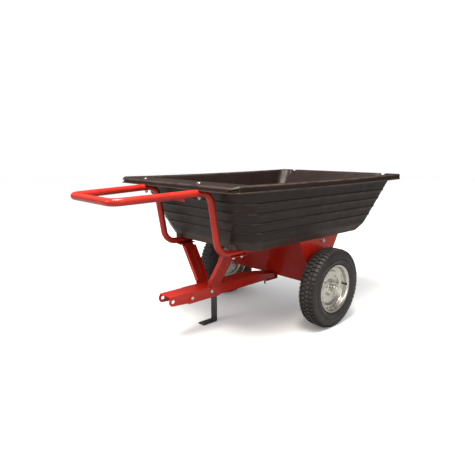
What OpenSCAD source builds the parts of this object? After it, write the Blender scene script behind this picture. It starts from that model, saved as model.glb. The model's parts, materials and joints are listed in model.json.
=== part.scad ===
// Garden cart: a moulded tub on two bent frame tubes, a push handle, a tow tongue with
// struts, a sheet-metal axle cradle, two pneumatic wheels and a folding prop stand.
// +Z is up, the handle and the tongue point along -X, the wheels turn about Y.
// The origin is on the ground under the middle of the cart. Left is -Y.

/* [Tub] */
// Rim top above the ground
rim_top = 680; // [670:1:700]
// Rear edge of the rim behind the axle
rear_reach = 527; // [500:1:560]
// Front edge of the rim ahead of the axle
front_reach = 632; // [626:1:640]
// Half of the rim width over the lip
rim_half = 390; // [386:1:410]
// Depth of the turned-down lip
lip_drop = 27; // [22:1:32]
// Moulded wall thickness
skin = 4; // [3:0.5:5]
// Underside of the floor above the ground
floor_z = 404; // [400:1:408]
// Height of the sloped band around the floor
chamfer_rise = 36; // [28:1:44]
// Count of the moulded ribs around the wall
rib_count = 4; // [1:1:4]
// Height of one rib
rib_height = 7; // [4:1:10]

/* [Frame tubes and handle] */
// Outside diameter of the tubes
tube_d = 28; // [26:1:29]
// Wall of the tubes
tube_wall = 1.6; // [1.2:0.1:2.4]
// Half of the spacing of the frame tubes
tube_y = 182; // [178:1:186]
// Centre line of the crossbar ahead of the axle
handle_reach = 955; // [900:1:1000]
// Half width of the handle at the crossbar
crossbar_half = 157; // [140:1:165]
// Bend radius of the handle corners
handle_bend = 38; // [34:1:44]
// Height of the crossbar centre
crossbar_z = 633; // [628:1:638]

/* [Tongue] */
// Tow eye holes ahead of the axle
eye_reach = 650; // [640:1:680]
// Tow eye height
eye_z = 191; // [189:1:193]
// Tow eye hole diameter
eye_d = 16; // [10:0.5:18]
// Outside width of the tongue channel
tongue_w = 78; // [74:1:80]
// Sheet thickness of the frame pressings
sheet = 3; // [2.5:0.5:3]

/* [Wheels] */
// Tyre outside diameter
tyre_od = 365; // [360:1:368]
// Tyre section width
tyre_w = 86; // [80:1:88]
// Half of the wheel track
wheel_y = 344; // [342:1:346]
// Tread blocks around each row
block_count = 30; // [20:1:36]
// Diameter of the pressed disc flange
disc_d = 220; // [216:1:222]
// Axle diameter
axle_d = 16; // [14:1:16]

/* [Stand] */
// Width of the flat bar
bar_w = 38; // [30:1:38]
// Thickness of the flat bar
bar_t = 6; // [5:1:8]
// Length of the foot
foot_len = 84; // [60:1:100]

/* [Fasteners] */
// Diameter of the frame bolts
bolt_d = 8; // [6:1:8]

/* [Hidden] */
$fn = 64;
eps = 0.05;
axle_x = (handle_reach + tube_d / 2 - rear_reach) / 2;
axle_z = tyre_od / 2;
mid_z = floor_z + chamfer_rise;

// colours of the finishes
poly_black = [0.2, 0.17, 0.16];
paint_red = [0.72, 0.1, 0.1];
zinc = [0.78, 0.78, 0.76];
black_steel = [0.12, 0.11, 0.11];
tyre_rubber = [0.16, 0.15, 0.14];

// fastener proportions
hole_slack = 0.2;
washer_r = bolt_d * 1.4;
washer_t = 1.6;
bolt_end = 4;
hex_across = 1.6;
hex_high = 0.65;
nut_high = 0.8;
nut_h = bolt_d * nut_high;
round_rise = 0.3;
round_wide = 1.1;
crown_rise = 0.2;
crown_wide = 0.8;

// tub walls: [direction the wall faces, its distance from the axle centre line at the
// floor, at the top of the sloped band and at the rim]
front_wall = [180, 455, 472, 550];
front_corner_wall = [155.6, 485.5, 507.6, 636];
side_wall = [91, 287, 308, 365];
rear_corner_wall = [44, 405, 450.5, 596];
rear_wall = [0, 294, 345, 506];
wall_reach = 900;
over = 1;
arc_steps = 6;
rib_proud = 1.8;
rib_pitch = 40;
rib_first = mid_z + 40;

// rim details
crest_back = 26;
crest_fall = 8;
rim_round_front = 34;
rim_round_rear = 10;
notch_w = 27;
notch_d = 11;
notch_y = 297;
notch_back = 16;
slot_w = 31;
slot_y = 369;
slot_low = 660;
slot_high = 668;
slot_back = 26;
pad_r = 11.5;
rim_bolt_in = 13;
rim_bolt_x = -(front_reach - rim_bolt_in);
rim_under = rim_top - 3 * skin;
spacer_r = 8;
tube_relief = 1;

// frame tube centre line
arm_z = 643;
tube_low_z = floor_z - tube_d / 2;
tube_top_x = -568.5;
tube_top_z = 644.6;
tube_low_x = -527.3;
tube_back_x = 52;
bend_top = 50;
bend_low = 62;
joint_x = -640;
socket_len = 15;
socket_slack = 0.1;
socket_r = tube_d / 2 - tube_wall - socket_slack;
socket_step = 3;
joint_gap = 0.3;
bend_lap = 1.5;
bend_proud = 0.15;

// front floor bolts and rear floor bolts
floor_bolt_x = [-448, -402];
boss_r = 20;
boss_top = floor_z + 24;
flange_bolt_x = [-96, 112];
flange_bolt_y = 264;

// cradle pressings
plate_y = 280;
plate_top_x = -142;
plate_low_x = -16;
plate_low_z = 183;
plate_back_x = 150;
plate_lap = 18;
plate_over = 8;
plate_cut = 60;
top_flange_w = 30;
rod_x = 21;
rod_d = 10;
rod_z = tube_low_z;
boss_axle_r = 22;
tab_front = -96;
tab_half = 44;

// axle fittings
axle_end = 6;
axle_washer_t = 2;
axle_washer_wide = 7;
spacer_wall = 4;
cap_rim = 4.5;
cap_rim_h = 5;
cap_crown = 2.5;
cap_h = 7.2;

// tongue and struts
tongue_top = 212;
tongue_low = 166;
tongue_back = -34;
tongue_back_z = 190;
taper_x = -170;
eye_r = 19;
web_lead = 10;
clamp_x = -62;
clamp_seat = 197.5;
clamp_tip = 134;
clamp_washer_r = 15;
clamp_washer_t = 2;
clamp_pad_r = 11;
strut_x = -434;
strut_w = 62;
strut_top_z = floor_z - tube_d;
strut_bend_y = 146;
strut_flange = 16;
strut_out = 199;
strut_plate_front = [-573, -553];
strut_plate_back = -404;
strut_lip = 12;
flange_in = 9;
flange_edge = 19;
bead_r = 3.5;
bead_gap = 16;
bead_len = 120;
tongue_bolt_x = [-557, -451];
tongue_bolt_z = [187, 193];

// stand
stand_x = -350;
stand_pivot_z = 186;
stand_gap = 0.6;
stand_y0 = tongue_w / 2 + 2.5;
stand_sleeve_r = 9;
stand_bend_r = 10;
stop_len = 30;
stop_low = stand_pivot_z - stand_sleeve_r - over - stop_len;
stop_w = 22;

// wheels, measured across from the middle plane of the wheel
half_w = tyre_w / 2;
tread_r = tyre_od / 2;
groove = 7;
mid_groove = 4;
block_high = 8;
lug_lean = 2;
lug_fall = 3;
tread_flat = 21;
tyre_wall = 5;
tread_half = 35;
bead_seat = disc_d / 2 - 9;
bead_wide = 0.62;
bead_open = half_w * 0.45;
bead_open_deep = 16;
wall_high = bead_seat + 46;
wall_steps = [[12, 0.8], [28, 1]];
shoulder_drop = 6;
shoulder_wide = 0.86;
crown_edge = 0.66;
crown_bulge = 2;
hub_in = -48;
hub_out = 36;
hub_r = 17;
hub_rim = 4;
disc_t = 2.2;
side_gap = 0.3;
disc_bolts = 4;
disc_bolt_r = 62;
disc_bolt_d = 6;
run_fit = 0.05;
collar_r = 28;
collar_z = 14;
flat_in = 38;
flat_out = 74;
step_r = 84;
step_z = 9;
well_z = 27;
flange_z = 36;
valve_at = bead_seat - 8;
valve_r = 4;
valve_seat = 10;
valve_neck = 28;
valve_tip = 36;

// ---------- helpers ----------

// places its children at a distance from the axle along the cart
module ahead(x, y = 0, z = 0) {
    translate([axle_x + x, y, z]) children();
}

// stands its children up so that their axis runs along +Y
module along_y() {
    rotate([-90, 0, 0]) children();
}

// flat-bottomed outline drawn in X and Z, given a thickness along Y starting at y
module wall_xz(y, thick) {
    translate([0, y + thick, 0]) rotate([90, 0, 0]) linear_extrude(thick) children();
}

// outline drawn in Y and Z, given a length along X starting at x
module wall_yz(x, length) {
    translate([axle_x + x, 0, 0]) rotate([90, 0, 90]) linear_extrude(length) children();
}

function heading(p, q) = atan2(q[1] - p[1], q[0] - p[0]);
function wrap(t) = t > 180 ? t - 360 : (t < -180 ? t + 360 : t);
function turn(pts, i) = wrap(heading(pts[i], pts[i + 1]) - heading(pts[i - 1], pts[i]));
function setback(pts, i, r) = r[i] * tan(abs(turn(pts, i)) / 2);

// hollow round section
module pipe_end(d, wall) {
    difference() {
        circle(d = d);
        circle(d = d - 2 * wall);
    }
}

// tube bent in the XY plane along corner points with a radius at every corner;
// the bends stand a hair proud of the straight runs, which reach a little way into them
module bent_tube(pts, r, d, wall) {
    last = len(pts) - 1;
    for (i = [0:last - 1]) {
        start = i == 0 ? 0 : setback(pts, i, r) - bend_lap;
        stop = i == last - 1 ? 0 : setback(pts, i + 1, r) - bend_lap;
        translate([pts[i][0], pts[i][1], 0])
            rotate([0, 0, heading(pts[i], pts[i + 1])])
            translate([start, 0, 0])
            rotate([0, 90, 0])
            linear_extrude(norm(pts[i + 1] - pts[i]) - start - stop) pipe_end(d, wall);
    }
    for (i = [1:last - 1]) {
        a = heading(pts[i - 1], pts[i]);
        t = turn(pts, i);
        side = sign(t);
        s = pts[i] - setback(pts, i, r) * [cos(a), sin(a)];
        c = s + side * r[i] * [-sin(a), cos(a)];
        translate([c[0], c[1], 0])
            rotate([0, 0, side > 0 ? a - 90 : a + 90 + t])
            rotate_extrude(angle = abs(t))
            translate([r[i], 0]) pipe_end(d + 2 * bend_proud, wall + 2 * bend_proud);
    }
}

// hexagon bolt hanging below z = 0 with its head above
module hex_bolt(length, d = bolt_d) {
    cylinder(h = d * hex_high, d = d * hex_across / cos(30), $fn = 6);
    translate([0, 0, -length]) cylinder(h = length + eps, d = d);
}

// carriage bolt with a low stepped round head
module round_bolt(length, d = bolt_d) {
    cylinder(h = d * round_rise, r = d * round_wide);
    cylinder(h = d * (round_rise + crown_rise), r = d * crown_wide);
    translate([0, 0, -length]) cylinder(h = length + eps, d = d);
}

// hexagon nut standing on z = 0
module hex_nut(d = bolt_d) {
    difference() {
        cylinder(h = d * nut_high, d = d * hex_across / cos(30), $fn = 6);
        translate([0, 0, -over]) cylinder(h = d * nut_high + 2 * over, d = d + hole_slack);
    }
}

module ring(r, bore, h) {
    difference() {
        cylinder(h = h, r = r);
        translate([0, 0, -over]) cylinder(h = h + 2 * over, r = bore);
    }
}

// ---------- tub ----------

// everything behind one flat wall, which is moved outwards by g
module behind_wall(w, g) {
    rotate([0, 0, w[0]]) wall_xz(-wall_reach, 2 * wall_reach)
        polygon([[-wall_reach, floor_z], [w[1] + g, floor_z], [w[2] + g, mid_z],
            [w[3] + g, rim_top], [w[3] + g, rim_top + over], [-wall_reach, rim_top + over]]);
}

// closed body of the tub grown outwards by g, between two heights
module tub_body(g, low, high) {
    intersection() {
        translate([-wall_reach, -wall_reach, low])
            cube([2 * wall_reach, 2 * wall_reach, high - low]);
        behind_wall(front_wall, g);
        behind_wall(front_corner_wall, g);
        mirror([0, 1, 0]) behind_wall(front_corner_wall, g);
        behind_wall(side_wall, g);
        mirror([0, 1, 0]) behind_wall(side_wall, g);
        behind_wall(rear_corner_wall, g);
        mirror([0, 1, 0]) behind_wall(rear_corner_wall, g);
        behind_wall(rear_wall, g);
    }
}

module ribs() {
    for (i = [0:rib_count - 1]) {
        low = rib_first + i * rib_pitch;
        tub_body(rib_proud, low, low + rib_height);
    }
}

function arc(x, y, r, from) = [for (i = [0:arc_steps])
    [x + r * cos(from + 90 * i / arc_steps), y + r * sin(from + 90 * i / arc_steps)]];

// rounded rectangle of the rim, grown by g
module rim_outline(g) {
    xf = -front_reach + rim_round_front;
    xr = rear_reach - rim_round_rear;
    yf = rim_half - rim_round_front;
    yr = rim_half - rim_round_rear;
    polygon(concat(
        arc(xr, yr, rim_round_rear + g, 0), arc(xf, yf, rim_round_front + g, 90),
        arc(xf, -yf, rim_round_front + g, 180), arc(xr, -yr, rim_round_rear + g, 270)));
}

// everything above the sloped front shoulder of the rim, lowered by drop
module shoulder_cut(drop) {
    x0 = -front_reach + crest_back;
    wall_xz(-rim_half - over, 2 * (rim_half + over))
        polygon([[x0, rim_top - drop], [x0 - 2 * crest_back, rim_top - drop - 2 * crest_fall],
            [x0 - 2 * crest_back, rim_top + lip_drop], [x0, rim_top + lip_drop]]);
}

module rim() {
    difference() {
        translate([0, 0, rim_top - lip_drop]) linear_extrude(lip_drop) rim_outline(0);
        shoulder_cut(0);
        difference() {
            translate([0, 0, rim_top - lip_drop - over])
                linear_extrude(lip_drop - skin + over) rim_outline(-skin);
            shoulder_cut(skin);
        }
    }
}

// cross-grooves of the rear rim
module notch_boxes(g) {
    for (s = [-1, 1])
        translate([rear_reach - notch_back, s * notch_y - notch_w / 2 - g,
            rim_top - notch_d - g])
            cube([notch_back + over, notch_w + 2 * g, notch_d + g + over]);
}

// slots through the lip at the front corners
module lip_slots() {
    for (s = [-1, 1])
        translate([-front_reach - over, s * slot_y - slot_w / 2, slot_low])
            cube([slot_back + over, slot_w, slot_high - slot_low]);
}

module notch_skins() {
    intersection() {
        notch_boxes(skin);
        translate([0, 0, rim_top - lip_drop]) linear_extrude(lip_drop) rim_outline(0);
    }
}

module tub() {
    color(poly_black) translate([axle_x, 0, 0]) difference() {
        union() {
            difference() {
                union() {
                    tub_body(0, floor_z, rim_top);
                    ribs();
                    rim();
                    difference() {
                        notch_skins();
                        shoulder_cut(0);
                    }
                }
                tub_body(-skin, floor_z + skin, rim_top + over);
                notch_boxes(0);
                lip_slots();
            }
            for (s = [-1, 1]) {
                intersection() {
                    translate([floor_bolt_x[0], s * tube_y, floor_z])
                        cylinder(h = boss_top - floor_z, r = boss_r);
                    tub_body(-skin / 2, floor_z, rim_top);
                }
                translate([rim_bolt_x, s * tube_y, rim_under])
                    cylinder(h = rim_top - rim_under, r = pad_r);
            }
        }
        for (s = [-1, 1]) {
            for (x = floor_bolt_x)
                translate([x, s * tube_y, floor_z - over])
                    cylinder(h = boss_top - floor_z + 2 * over, d = bolt_d + hole_slack);
            for (x = flange_bolt_x)
                translate([x, s * flange_bolt_y, floor_z - over])
                    cylinder(h = skin + 2 * over, d = bolt_d + hole_slack);
            translate([rim_bolt_x, s * tube_y, rim_under - over])
                cylinder(h = rim_top - rim_under + 2 * over, d = bolt_d + hole_slack);
            translate([-front_reach - skin, s * tube_y, arm_z])
                rotate([0, 90, 0]) cylinder(h = 3 * skin, d = tube_d + 2 * tube_relief);
        }
    }
}

// ---------- handle and frame tubes ----------

module handle() {
    run = handle_reach + joint_x;
    tilt = asin((arm_z - crossbar_z) / run);
    reach = norm([run, arm_z - crossbar_z]);
    lead = over * (tube_y - crossbar_half) / reach;
    loop = [[-over, tube_y + lead], [reach, crossbar_half], [reach, -crossbar_half],
        [-over, -tube_y - lead]];
    color(paint_red) ahead(joint_x, 0, arm_z) rotate([0, -tilt, 0]) mirror([1, 0, 0]) {
        difference() {
            bent_tube(loop, [0, handle_bend, handle_bend, 0], tube_d, tube_wall);
            translate([-tube_d, -2 * tube_y, -tube_d])
                cube([tube_d + joint_gap, 4 * tube_y, 2 * tube_d]);
        }
        for (s = [-1, 1])
            translate([joint_gap, s * tube_y, 0]) rotate([0, -90, 0]) {
                translate([0, 0, -socket_step])
                    ring(tube_d / 2 - tube_wall / 2, socket_r - tube_wall, socket_step);
                translate([0, 0, -eps])
                    ring(socket_r, socket_r - tube_wall, socket_len + eps);
            }
    }
}

module frame_tube(s) {
    path = [[joint_x, arm_z], [tube_top_x, tube_top_z], [tube_low_x, tube_low_z],
        [tube_back_x, tube_low_z]];
    color(paint_red) difference() {
        ahead(0, s * tube_y, 0) rotate([90, 0, 0])
            bent_tube(path, [0, bend_top, bend_low, 0], tube_d, tube_wall);
        ahead(rim_bolt_x, s * tube_y, arm_z - tube_d)
            cylinder(h = 2 * tube_d, d = bolt_d + hole_slack);
        for (x = floor_bolt_x)
            ahead(x, s * tube_y, tube_low_z - tube_d)
                cylinder(h = 2 * tube_d, d = bolt_d + hole_slack);
        ahead(rod_x, s * tube_y - tube_d, rod_z) along_y()
            cylinder(h = 2 * tube_d, d = rod_d + hole_slack);
    }
}

module frame_tube_left() { frame_tube(-1); }

module frame_tube_right() { frame_tube(1); }

module rim_spacers() {
    rise = (spacer_r + rim_bolt_x - joint_x) * (tube_top_z - arm_z) / (tube_top_x - joint_x);
    low = arm_z + rise + tube_d / 2 + bend_proud;
    color(black_steel) for (s = [-1, 1])
        ahead(rim_bolt_x, s * tube_y, low)
            ring(spacer_r, (bolt_d + hole_slack) / 2, rim_under - low);
}

module rim_bolts() {
    color(zinc) for (s = [-1, 1])
        ahead(rim_bolt_x, s * tube_y, rim_top)
            round_bolt(rim_top - arm_z + tube_d / 2 + nut_h + bolt_end);
}

module rim_nuts() {
    color(zinc) for (s = [-1, 1])
        ahead(rim_bolt_x, s * tube_y, arm_z - tube_d / 2 - nut_h) hex_nut();
}

module floor_bolts() {
    tip = strut_top_z - sheet - nut_h - bolt_end;
    color(zinc) for (s = [-1, 1]) for (i = [0, 1]) {
        seat = (i == 0 ? boss_top : floor_z + skin) + washer_t;
        ahead(floor_bolt_x[i], s * tube_y, seat) round_bolt(seat - tip);
    }
}

module floor_nuts() {
    color(zinc) for (s = [-1, 1]) for (x = floor_bolt_x)
        ahead(x, s * tube_y, strut_top_z - sheet - nut_h) hex_nut();
}

module floor_washers() {
    color(zinc) for (s = [-1, 1]) for (i = [0, 1])
        ahead(floor_bolt_x[i], s * tube_y, i == 0 ? boss_top : floor_z + skin)
            ring(washer_r, (bolt_d + hole_slack) / 2, washer_t);
}

// ---------- tongue and struts ----------

module tongue_side() {
    polygon([[-eye_reach, eye_z - eye_r], [strut_plate_front[0], tongue_low],
        [tongue_back, tongue_low + sheet], [tongue_back, tongue_back_z], [taper_x, tongue_top],
        [-eye_reach - web_lead, tongue_top], [-eye_reach - eye_r, eye_z + web_lead / 2],
        [-eye_reach - eye_r, eye_z]]);
    translate([-eye_reach, eye_z]) circle(r = eye_r);
}

module tongue() {
    w = tongue_w / 2;
    color(paint_red) translate([axle_x, 0, 0]) difference() {
        union() {
            difference() {
                wall_xz(-w, tongue_w) tongue_side();
                wall_xz(-w + sheet, tongue_w - 2 * sheet)
                    polygon([[-eye_reach - 2 * eye_r, 0], [0, 0], [0, tongue_back_z - sheet],
                        [tongue_back, tongue_back_z - sheet], [taper_x, tongue_top - sheet],
                        [-eye_reach - 2 * eye_r, tongue_top - sheet]]);
            }
            translate([clamp_x, 0, tongue_back_z - sheet])
                cylinder(h = clamp_seat - tongue_back_z + sheet, r = clamp_pad_r);
            translate([stand_x - bar_t / 2 - stand_gap - sheet, w - sheet / 2, stop_low])
                cube([sheet, stop_w, stop_len]);
        }
        for (s = [-1, 1])
            translate([-eye_reach, s * w, eye_z]) along_y()
                translate([0, 0, -tongue_w / 4]) cylinder(h = tongue_w / 2, d = eye_d);
        for (i = [0, 1])
            translate([tongue_bolt_x[i], -tongue_w, tongue_bolt_z[i]]) along_y()
                cylinder(h = 2 * tongue_w, d = bolt_d + hole_slack);
        translate([stand_x, 0, stand_pivot_z]) along_y()
            cylinder(h = tongue_w, d = bolt_d + hole_slack);
        translate([clamp_x, 0, 0]) cylinder(h = tongue_top, d = bolt_d + hole_slack);
    }
}

function unit(v) = v / norm(v);
function out_of(v) = [v[1], -v[0]];
function miter(p, n, m, t) = p + t * (n + m) / (1 + n * m);

module strut(s) {
    y0 = tongue_w / 2 + hole_slack;
    foot = [y0, tongue_top - sheet / 2];
    top = [strut_bend_y, strut_top_z];
    along = unit(top - foot);
    n = out_of(along);
    low = tongue_low - sheet;
    web_mid = (foot + top) / 2 + n * sheet / 2;
    tilt = atan2(along[1], along[0]);
    color(paint_red) mirror([0, s < 0 ? 1 : 0, 0]) difference() {
        union() {
            wall_yz(strut_x - strut_w / 2, strut_w)
                polygon([[y0, low], foot, top, [strut_out, strut_top_z],
                    [strut_out, strut_top_z - sheet], miter(top, n, [0, -1], sheet),
                    miter(foot, [1, 0], n, sheet), [y0 + sheet, low]]);
            for (x = [strut_x - strut_w / 2, strut_x + strut_w / 2 - sheet])
                wall_yz(x, sheet)
                    polygon([foot + flange_in * along + n, top - flange_in * along + n,
                        top - 2 * flange_in * along - strut_flange * n,
                        foot + 2 * flange_in * along - strut_flange * n]);
            translate([axle_x, 0, 0]) {
                wall_xz(y0, sheet)
                    polygon([[strut_plate_front[0], low], [strut_plate_front[1], tongue_top],
                        [strut_plate_back, tongue_top], [strut_plate_back, low]]);
                translate([strut_plate_front[0], y0 + sheet - strut_lip, low])
                    cube([strut_plate_back - strut_plate_front[0], strut_lip, sheet]);
                translate([floor_bolt_x[0] - flange_edge, strut_bend_y + flange_in,
                    strut_top_z - sheet])
                    cube([floor_bolt_x[1] - floor_bolt_x[0] + 2 * flange_edge,
                        strut_out - strut_bend_y - flange_in, sheet]);
            }
            for (k = [-1, 1])
                ahead(strut_x + k * bead_gap, web_mid[0], web_mid[1])
                    rotate([tilt - 90, 0, 0])
                    cylinder(h = bead_len, r = bead_r, center = true);
        }
        for (x = floor_bolt_x)
            ahead(x, tube_y, strut_top_z - tube_d)
                cylinder(h = 2 * tube_d, d = bolt_d + hole_slack);
        for (i = [0, 1])
            ahead(tongue_bolt_x[i], 0, tongue_bolt_z[i]) along_y()
                cylinder(h = tongue_w, d = bolt_d + hole_slack);
    }
}

module strut_left() { strut(-1); }

module strut_right() { strut(1); }

module tongue_bolts() {
    y0 = tongue_w / 2 + hole_slack + sheet;
    color(zinc) for (i = [0, 1])
        ahead(tongue_bolt_x[i], -y0, tongue_bolt_z[i]) rotate([90, 0, 0])
            hex_bolt(2 * y0 + nut_h + bolt_end);
}

module tongue_nuts() {
    y0 = tongue_w / 2 + hole_slack + sheet;
    color(zinc) for (i = [0, 1])
        ahead(tongue_bolt_x[i], y0, tongue_bolt_z[i]) along_y() hex_nut();
}

// ---------- cradle ----------

// direction of the cradle plate in X and Z, from its top edge down
plate_dir = unit([plate_low_x - plate_top_x, plate_low_z - floor_z]);
plate_normal = [plate_dir[1], -plate_dir[0]];

// point at height z on the cradle plate's front face, moved back by some distance
function on_plate(z, back) =
    [plate_top_x + ((z - floor_z) * plate_dir[0] - back) / plate_dir[1], z];

module cradle_plate() {
    n = plate_normal;
    b = [plate_low_x, plate_low_z];
    a = [plate_top_x, floor_z] - plate_over * plate_dir;
    color(paint_red) translate([axle_x, 0, 0]) difference() {
        union() {
            intersection() {
                wall_xz(-plate_y, 2 * plate_y) polygon([a, b, b + sheet * n, a + sheet * n]);
                translate([-floor_z, -plate_y, 0]) cube([floor_z, 2 * plate_y, floor_z]);
            }
            wall_xz(-tab_half, 2 * tab_half)
                polygon([b, [plate_low_x, tongue_low - sheet], [tab_front, tongue_low - sheet],
                    [tab_front, tongue_low], [plate_low_x - sheet, tongue_low],
                    b + sheet * n]);
        }
        for (s = [-1, 1]) {
            translate([plate_top_x - tube_d, s * tube_y, tube_low_z]) rotate([0, 90, 0])
                cylinder(h = 3 * tube_d, d = tube_d + 2 * tube_relief);
            translate([plate_top_x - tube_d, s * tube_y - tube_d / 2 - tube_relief, tube_low_z])
                cube([3 * tube_d, tube_d + 2 * tube_relief, tube_d]);
        }
        translate([clamp_x, 0, 0]) cylinder(h = tongue_top, d = bolt_d + hole_slack);
    }
}

module cradle_side(s) {
    d = plate_dir;
    n = plate_normal;
    a = on_plate(floor_z, hole_slack);
    b = on_plate(plate_low_z, hole_slack);
    color(paint_red) translate([axle_x, 0, 0]) mirror([0, s < 0 ? 1 : 0, 0]) difference() {
        union() {
            difference() {
                wall_xz(plate_y - sheet, sheet) union() {
                    polygon([a, b, [0, axle_z], [boss_axle_r, axle_z + boss_axle_r / 4],
                        [plate_back_x, floor_z]]);
                    translate([0, axle_z]) circle(r = boss_axle_r);
                }
                wall_xz(plate_y - 2 * sheet, 3 * sheet)
                    polygon([a, b + plate_cut * d, b + plate_cut * (d + n), a + plate_cut * n]);
            }
            intersection() {
                wall_xz(plate_y - plate_lap, plate_lap)
                    polygon([a, b, b - sheet * n, a - sheet * n]);
                cube([4 * plate_y, 4 * plate_y, 2 * floor_z], center = true);
            }
            translate([plate_top_x + plate_over, plate_y - top_flange_w, floor_z - sheet])
                cube([plate_back_x - plate_top_x - 2 * plate_over, top_flange_w, sheet]);
        }
        translate([0, 0, axle_z]) along_y() cylinder(h = 2 * plate_y, d = axle_d + hole_slack);
        translate([rod_x, 0, rod_z]) along_y() cylinder(h = 2 * plate_y, d = rod_d + hole_slack);
        for (x = flange_bolt_x)
            translate([x, flange_bolt_y, floor_z - 2 * sheet])
                cylinder(h = 3 * sheet, d = bolt_d + hole_slack);
    }
}

module cradle_side_left() { cradle_side(-1); }

module cradle_side_right() { cradle_side(1); }

module cradle_bolts() {
    seat = floor_z + skin + washer_t;
    color(zinc) for (s = [-1, 1]) for (x = flange_bolt_x)
        ahead(x, s * flange_bolt_y, seat)
            round_bolt(seat - floor_z + sheet + nut_h + bolt_end);
}

module cradle_nuts() {
    color(zinc) for (s = [-1, 1]) for (x = flange_bolt_x)
        ahead(x, s * flange_bolt_y, floor_z - sheet - nut_h) hex_nut();
}

module cradle_washers() {
    color(zinc) for (s = [-1, 1]) for (x = flange_bolt_x)
        ahead(x, s * flange_bolt_y, floor_z + skin)
            ring(washer_r, (bolt_d + hole_slack) / 2, washer_t);
}

module cross_rod() {
    half = plate_y + washer_t + rod_d * nut_high + bolt_end;
    color(zinc) ahead(rod_x, -half, rod_z) along_y() cylinder(h = 2 * half, d = rod_d);
}

module cross_rod_nuts() {
    color(zinc) for (s = [-1, 1])
        ahead(rod_x, s * (plate_y + washer_t), rod_z) rotate([-90 * s, 0, 0]) hex_nut(rod_d);
    color(zinc) for (s = [-1, 1])
        ahead(rod_x, s * plate_y, rod_z) rotate([-90 * s, 0, 0])
            ring(rod_d, (rod_d + hole_slack) / 2, washer_t - 2 * run_fit);
}

// ---------- axle ----------

module axle() {
    half = wheel_y + hub_out + axle_end;
    color(zinc) ahead(0, -half, axle_z) along_y() cylinder(h = 2 * half, d = axle_d);
}

module axle_spacers() {
    low = plate_y + 0.1;
    color(zinc) for (s = [-1, 1])
        ahead(0, s * low, axle_z) rotate([-90 * s, 0, 0])
            ring(axle_d / 2 + spacer_wall, axle_d / 2 + run_fit,
                wheel_y + hub_in - side_gap - low);
}

module axle_washers() {
    color(zinc) for (s = [-1, 1])
        ahead(0, s * (wheel_y + hub_out + side_gap), axle_z) rotate([-90 * s, 0, 0])
            ring(axle_d / 2 + axle_washer_wide, axle_d / 2 + run_fit, axle_washer_t);
}

module axle_caps() {
    low = wheel_y + hub_out + side_gap + axle_washer_t + 2 * run_fit;
    color(zinc) for (s = [-1, 1])
        ahead(0, s * low, axle_z) rotate([-90 * s, 0, 0]) difference() {
            union() {
                cylinder(h = cap_rim_h, r = axle_d / 2 + cap_rim);
                cylinder(h = cap_h, r = axle_d / 2 + cap_crown);
            }
            translate([0, 0, -over])
                cylinder(h = axle_end - axle_washer_t + over, d = axle_d + 2 * run_fit);
        }
}

// ---------- clamp of the tongue on the cradle ----------

module clamp_bolt() {
    color(black_steel) ahead(clamp_x, 0, clamp_seat) hex_bolt(clamp_seat - clamp_tip);
}

module clamp_nut() {
    low = tongue_low - sheet - clamp_washer_t;
    color(black_steel) {
        ahead(clamp_x, 0, low) ring(clamp_washer_r, (bolt_d + hole_slack) / 2, clamp_washer_t);
        ahead(clamp_x, 0, low - nut_h - 2 * run_fit) hex_nut();
    }
}

// ---------- stand ----------

module stand() {
    r = stand_bend_r;
    color(black_steel) ahead(stand_x, stand_y0, 0) difference() {
        union() {
            wall_xz(0, bar_w) union() {
                translate([-bar_t / 2, r]) square([bar_t, stand_pivot_z - r]);
                translate([bar_t / 2 - foot_len, 0]) square([foot_len - r, bar_t]);
                intersection() {
                    translate([bar_t / 2 - r, r]) difference() {
                        circle(r = r);
                        circle(r = r - bar_t);
                    }
                    translate([bar_t / 2 - r, 0]) square([r, r]);
                }
            }
            translate([0, 0, stand_pivot_z]) along_y()
                cylinder(h = bar_w, r = stand_sleeve_r);
        }
        translate([0, -over, stand_pivot_z]) along_y()
            cylinder(h = bar_w + 2 * over, d = bolt_d + 2 * run_fit);
    }
}

module stand_bolt() {
    inner = tongue_w / 2 - sheet;
    color(zinc) ahead(stand_x, inner, stand_pivot_z) rotate([90, 0, 0])
        hex_bolt(stand_y0 + bar_w - inner + stand_gap + nut_h + bolt_end);
}

module stand_nut() {
    color(zinc) {
        ahead(stand_x, stand_y0 + bar_w + stand_gap, stand_pivot_z) along_y() hex_nut();
        ahead(stand_x, tongue_w / 2 + 2 * run_fit, stand_pivot_z) along_y()
            ring(bolt_d, (bolt_d + hole_slack) / 2, stand_y0 - tongue_w / 2 - stand_gap);
    }
}

// ---------- wheels ----------

// puts its children on a wheel centre with the outer face of the wheel along +Z
module at_wheel(s) {
    ahead(0, s * wheel_y, axle_z) rotate([-90 * s, 0, 0]) children();
}

// section of the tyre wall, moved inwards by k
module carcass_outline(k) {
    r = tread_r - block_high;
    bead = bead_seat + hole_slack;
    mirrored = [for (i = [len(wall_steps) - 1:-1:0])
        [bead_seat + wall_steps[i][0] + k, half_w * wall_steps[i][1] - k]];
    polygon(concat([[bead, -half_w * bead_wide]],
        [for (p = wall_steps) [bead_seat + p[0] + k, k - half_w * p[1]]],
        [[wall_high - k, k - half_w], [r - shoulder_drop - k, k - half_w * shoulder_wide],
            [r - k, k - half_w * crown_edge], [r + crown_bulge - k, 0],
            [r - k, half_w * crown_edge - k],
            [r - shoulder_drop - k, half_w * shoulder_wide - k], [wall_high - k, half_w - k]],
        mirrored, [[bead, half_w * bead_wide]]));
}

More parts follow.
